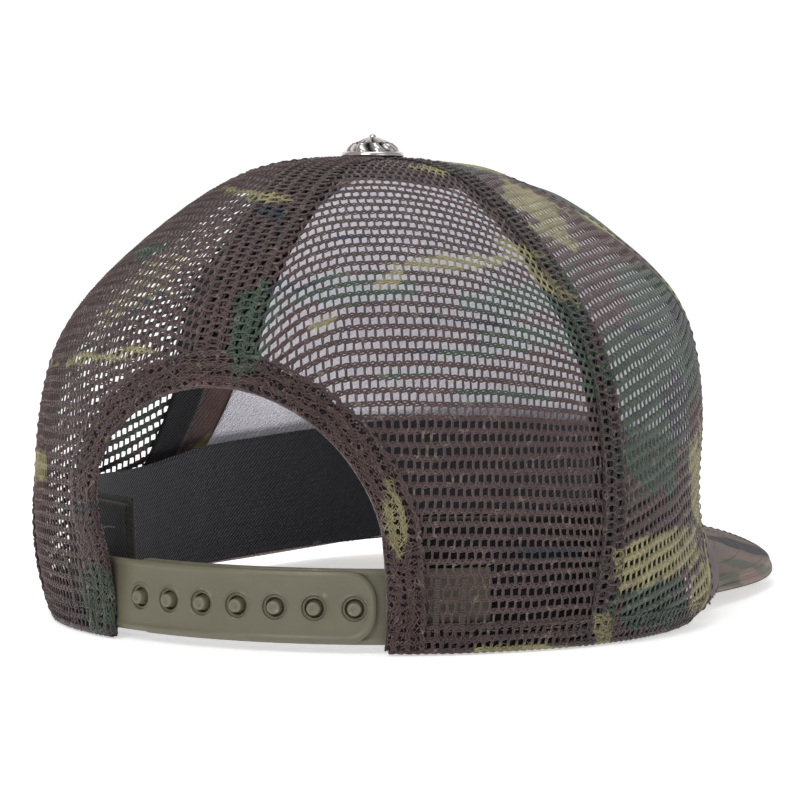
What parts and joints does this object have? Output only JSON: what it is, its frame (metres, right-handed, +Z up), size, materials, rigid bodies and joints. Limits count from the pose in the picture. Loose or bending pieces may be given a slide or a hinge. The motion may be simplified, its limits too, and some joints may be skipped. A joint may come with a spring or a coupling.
{
  "type": "trucker mesh cap",
  "caption": "Five-panel trucker cap: netted sides and back, solid cloth front, curved visor, plastic snap strap across the rear opening, metal top button.",
  "frame": {"origin": "centre of the head opening, on the plane of the bottom rim", "axes": "+Z up, -Y towards the visor, +X towards the wearer's left"},
  "size_m": [0.183, 0.2692, 0.1303],
  "materials": {
    "camo_cloth": "matte",
    "camo_net": "matte",
    "lining_white": "matte",
    "black_tape": "matte",
    "black_rib": "matte",
    "band_foam": "matte",
    "olive_plastic": "satin",
    "thread": "matte",
    "board_plastic": "matte",
    "bright_metal": "polished"
  },
  "bodies": {
    "crown": {"front_panel": "camo_cloth", "front_lining": "lining_white", "side_panel_right": "camo_net", "side_panel_left": "camo_net", "rear_panel_right": "camo_net", "rear_panel_left": "camo_net", "opening_hem": "camo_net", "seam_tape_rear": "black_tape", "seam_tape_side_right": "black_tape", "seam_tape_side_left": "black_tape", "seam_tape_front_right": "black_tape", "seam_tape_front_left": "black_tape", "sweatband": "black_rib", "sweatband_padding": "band_foam", "snap_strap_outer_end": "olive_plastic", "snap_strap_inner_end": "olive_plastic", "strap_tacks_left": "thread", "strap_tacks_right": "thread", "visor_top_cover": "camo_cloth", "visor_board": "board_plastic", "visor_under_cover": "camo_cloth", "visor_stitching": "thread", "button_base": "bright_metal", "button_cap": "bright_metal", "button_backing_patch": "black_tape", "button_rivet": "bright_metal"},
    "outer_strap": {"snap_strap_outer": "olive_plastic"},
    "inner_strap": {"snap_strap_inner": "olive_plastic"}
  },
  "joints": [
    {"name": "outer_strap_swing", "type": "hinge", "parent": "crown", "child": "outer_strap", "pos_m": [0.03655, 0.07663, 0.0114], "axis": [0, 0, -1], "range_deg": [0, 75]},
    {"name": "inner_strap_swing", "type": "hinge", "parent": "crown", "child": "inner_strap", "pos_m": [-0.03526, 0.07392, 0.0114], "axis": [0, 0, -1], "range_deg": [0, 60]}
  ]
}
